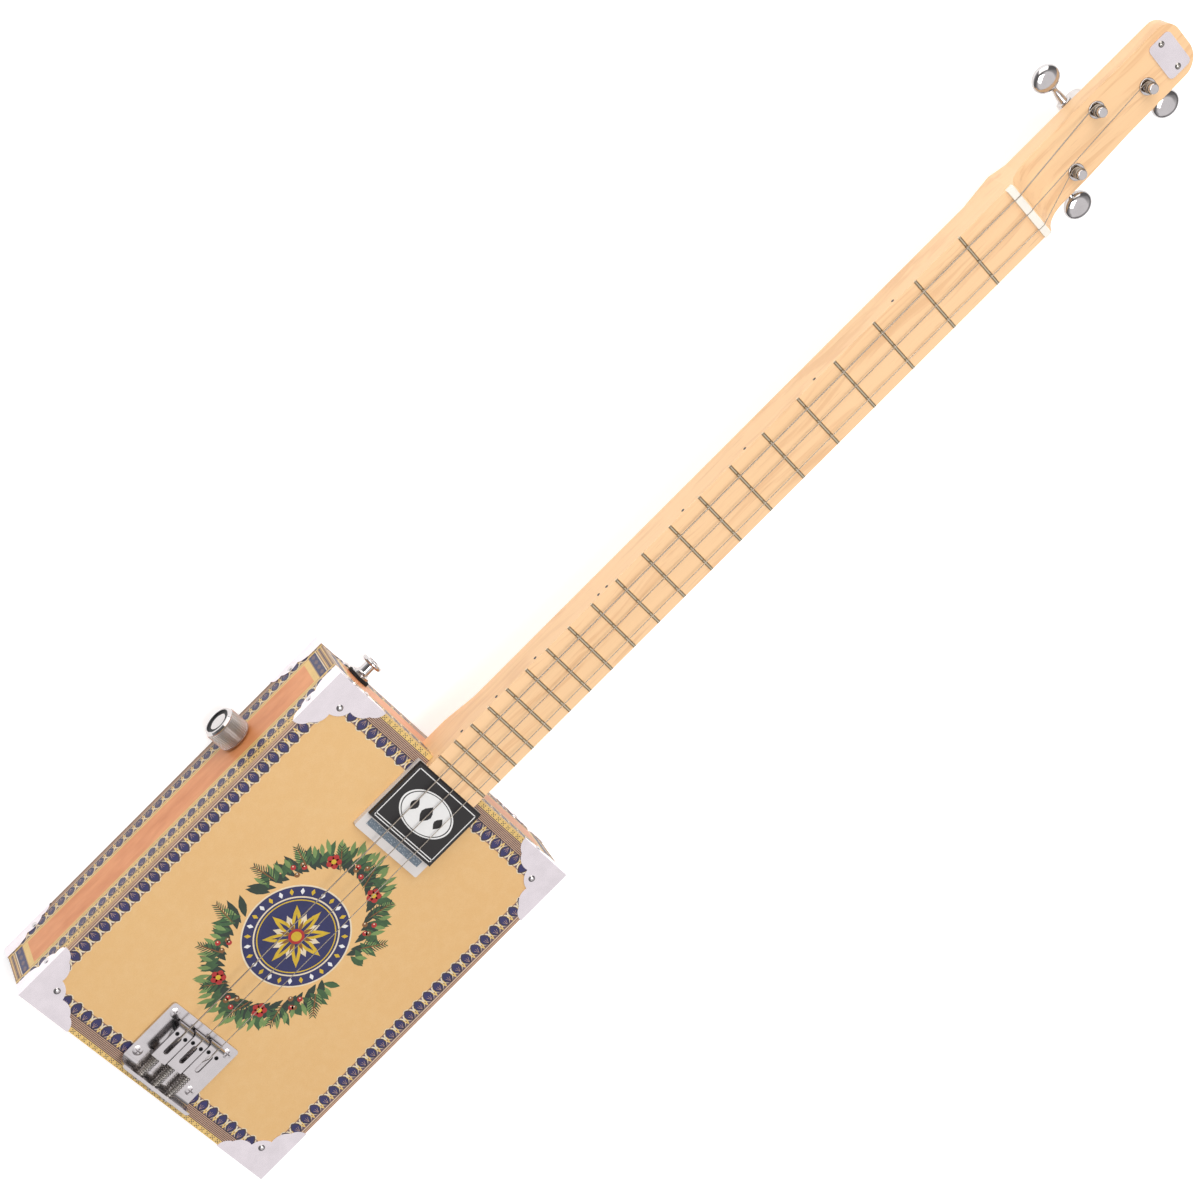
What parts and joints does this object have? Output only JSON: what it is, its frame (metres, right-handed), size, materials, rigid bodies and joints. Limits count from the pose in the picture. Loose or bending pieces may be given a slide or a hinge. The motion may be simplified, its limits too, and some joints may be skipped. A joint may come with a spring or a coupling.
{
  "type": "cigar box guitar",
  "caption": "Slide-style guitar with a printed box body, fretted through-neck, surface pickup, sprung-saddle bridge and geared tuners.",
  "frame": {"origin": "centre of the box's back face, which faces the surface that the guitar lies on", "axes": "+X along the strings from the box to the headstock, +Y towards the thickest string and the volume knob, +Z out of the lid"},
  "size_m": [0.8155, 0.2076, 0.0655],
  "materials": {
    "lid_print": "satin print on plywood",
    "side_print": "satin print on plywood",
    "box_wood": "plain plywood",
    "maple": "satin maple",
    "nickel": "satin nickel plate",
    "chrome": "polished",
    "fret_wire": "polished nickel silver",
    "steel": "plain steel",
    "string_steel": "wound and plain steel wire",
    "black_steel": "black oxide",
    "brass": "cut brass",
    "bone": "polished bone-white",
    "dot_black": "satin",
    "pickup_black": "satin with thin white lines",
    "pickup_base": "satin",
    "felt": "black felt"
  },
  "bodies": {
    "guitar": {"box_back": "box_wood", "box_side_bass": "side_print", "box_side_treble": "side_print", "box_end_neck": "side_print", "box_end_tail": "side_print", "box_lid": "lid_print", "corner_plates": "nickel", "corner_nails": "nickel", "neck": "maple", "frets": "fret_wire", "side_dots": "dot_black", "nut": "bone", "bridge_plate": "chrome", "string_bass": "string_steel", "string_middle": "string_steel", "string_treble": "string_steel", "spring_bass": "steel", "spring_middle": "steel", "spring_treble": "steel", "tuner_housing_bass": "chrome", "tuner_housing_middle": "chrome", "tuner_housing_treble": "chrome", "tuner_covers": "chrome", "tuner_ferrules": "chrome", "name_plate": "chrome", "headstock_screws": "steel", "wood_screws": "steel", "pickup_base": "pickup_base", "pickup_cover": "pickup_black", "control_can": "steel", "panel_nuts": "chrome", "output_socket": "steel", "strap_button": "chrome", "felt_washer": "felt"},
    "volume_knob": {"knob": "chrome", "control_shaft": "steel"},
    "bass_saddle": {"saddle_bass": "chrome", "height_screws_bass": "black_steel"},
    "bass_intonation_screw": {"intonation_screw_bass": "steel"},
    "bass_post": {"tuner_post_bass": "chrome", "tuner_wheel_bass": "brass", "winding_bass": "string_steel"},
    "bass_peg": {"tuner_worm_bass": "steel", "tuner_button_bass": "chrome"},
    "middle_saddle": {"saddle_middle": "chrome", "height_screws_middle": "black_steel"},
    "middle_intonation_screw": {"intonation_screw_middle": "steel"},
    "middle_post": {"tuner_post_middle": "chrome", "tuner_wheel_middle": "brass", "winding_middle": "string_steel"},
    "middle_peg": {"tuner_worm_middle": "steel", "tuner_button_middle": "chrome"},
    "treble_saddle": {"saddle_treble": "chrome", "height_screws_treble": "black_steel"},
    "treble_intonation_screw": {"intonation_screw_treble": "steel"},
    "treble_post": {"tuner_post_treble": "chrome", "tuner_wheel_treble": "brass", "winding_treble": "string_steel"},
    "treble_peg": {"tuner_worm_treble": "steel", "tuner_button_treble": "chrome"}
  },
  "joints": [
    {"name": "volume_turn", "type": "hinge", "parent": "guitar", "child": "volume_knob", "pos_m": [0.054, 0.0945, 0.0195], "axis": [0, 1, 0], "range_deg": [-150, 150]},
    {"name": "bass_intonation_turn", "type": "hinge", "parent": "guitar", "child": "bass_intonation_screw", "pos_m": [-0.1165, 0.011, 0.05985], "axis": [1, 0, 0], "range_deg": [-1601, 1601]},
    {"name": "bass_saddle_slide", "type": "slide", "parent": "guitar", "child": "bass_saddle", "axis": [1, 0, 0], "range_m": [-0.002, 0.002], "deforming": ["spring_bass"]},
    {"name": "bass_peg_turn", "type": "hinge", "parent": "guitar", "child": "bass_peg", "pos_m": [0.6222, 0.008, 0.0276], "axis": [0, -1, 0], "continuous": true},
    {"name": "bass_post_turn", "type": "hinge", "parent": "guitar", "child": "bass_post", "pos_m": [0.629, 0.008, 0.0276], "axis": [0, 0, 1], "continuous": true},
    {"name": "middle_intonation_turn", "type": "hinge", "parent": "guitar", "child": "middle_intonation_screw", "pos_m": [-0.1165, 0, 0.05985], "axis": [1, 0, 0], "range_deg": [-1601, 1601]},
    {"name": "middle_saddle_slide", "type": "slide", "parent": "guitar", "child": "middle_saddle", "axis": [1, 0, 0], "range_m": [-0.002, 0.002], "deforming": ["spring_middle"]},
    {"name": "middle_peg_turn", "type": "hinge", "parent": "guitar", "child": "middle_peg", "pos_m": [0.6658, -0.0042, 0.0276], "axis": [0, 1, 0], "continuous": true},
    {"name": "middle_post_turn", "type": "hinge", "parent": "guitar", "child": "middle_post", "pos_m": [0.659, -0.0042, 0.0276], "axis": [0, 0, 1], "continuous": true},
    {"name": "treble_intonation_turn", "type": "hinge", "parent": "guitar", "child": "treble_intonation_screw", "pos_m": [-0.1165, -0.011, 0.05985], "axis": [1, 0, 0], "range_deg": [-1601, 1601]},
    {"name": "treble_saddle_slide", "type": "slide", "parent": "guitar", "child": "treble_saddle", "axis": [1, 0, 0], "range_m": [-0.002, 0.002], "deforming": ["spring_treble"]},
    {"name": "treble_peg_turn", "type": "hinge", "parent": "guitar", "child": "treble_peg", "pos_m": [0.5922, -0.0106, 0.0276], "axis": [0, -1, 0], "continuous": true},
    {"name": "treble_post_turn", "type": "hinge", "parent": "guitar", "child": "treble_post", "pos_m": [0.599, -0.0106, 0.0276], "axis": [0, 0, 1], "continuous": true}
  ],
  "couplings": [
    {"joint": "bass_intonation_turn", "follows": "bass_saddle_slide", "rad_per_m": -13963},
    {"joint": "bass_post_turn", "follows": "bass_peg_turn", "ratio": -0.071429},
    {"joint": "middle_intonation_turn", "follows": "middle_saddle_slide", "rad_per_m": -13963},
    {"joint": "middle_post_turn", "follows": "middle_peg_turn", "ratio": -0.071429},
    {"joint": "treble_intonation_turn", "follows": "treble_saddle_slide", "rad_per_m": -13963},
    {"joint": "treble_post_turn", "follows": "treble_peg_turn", "ratio": -0.071429}
  ]
}
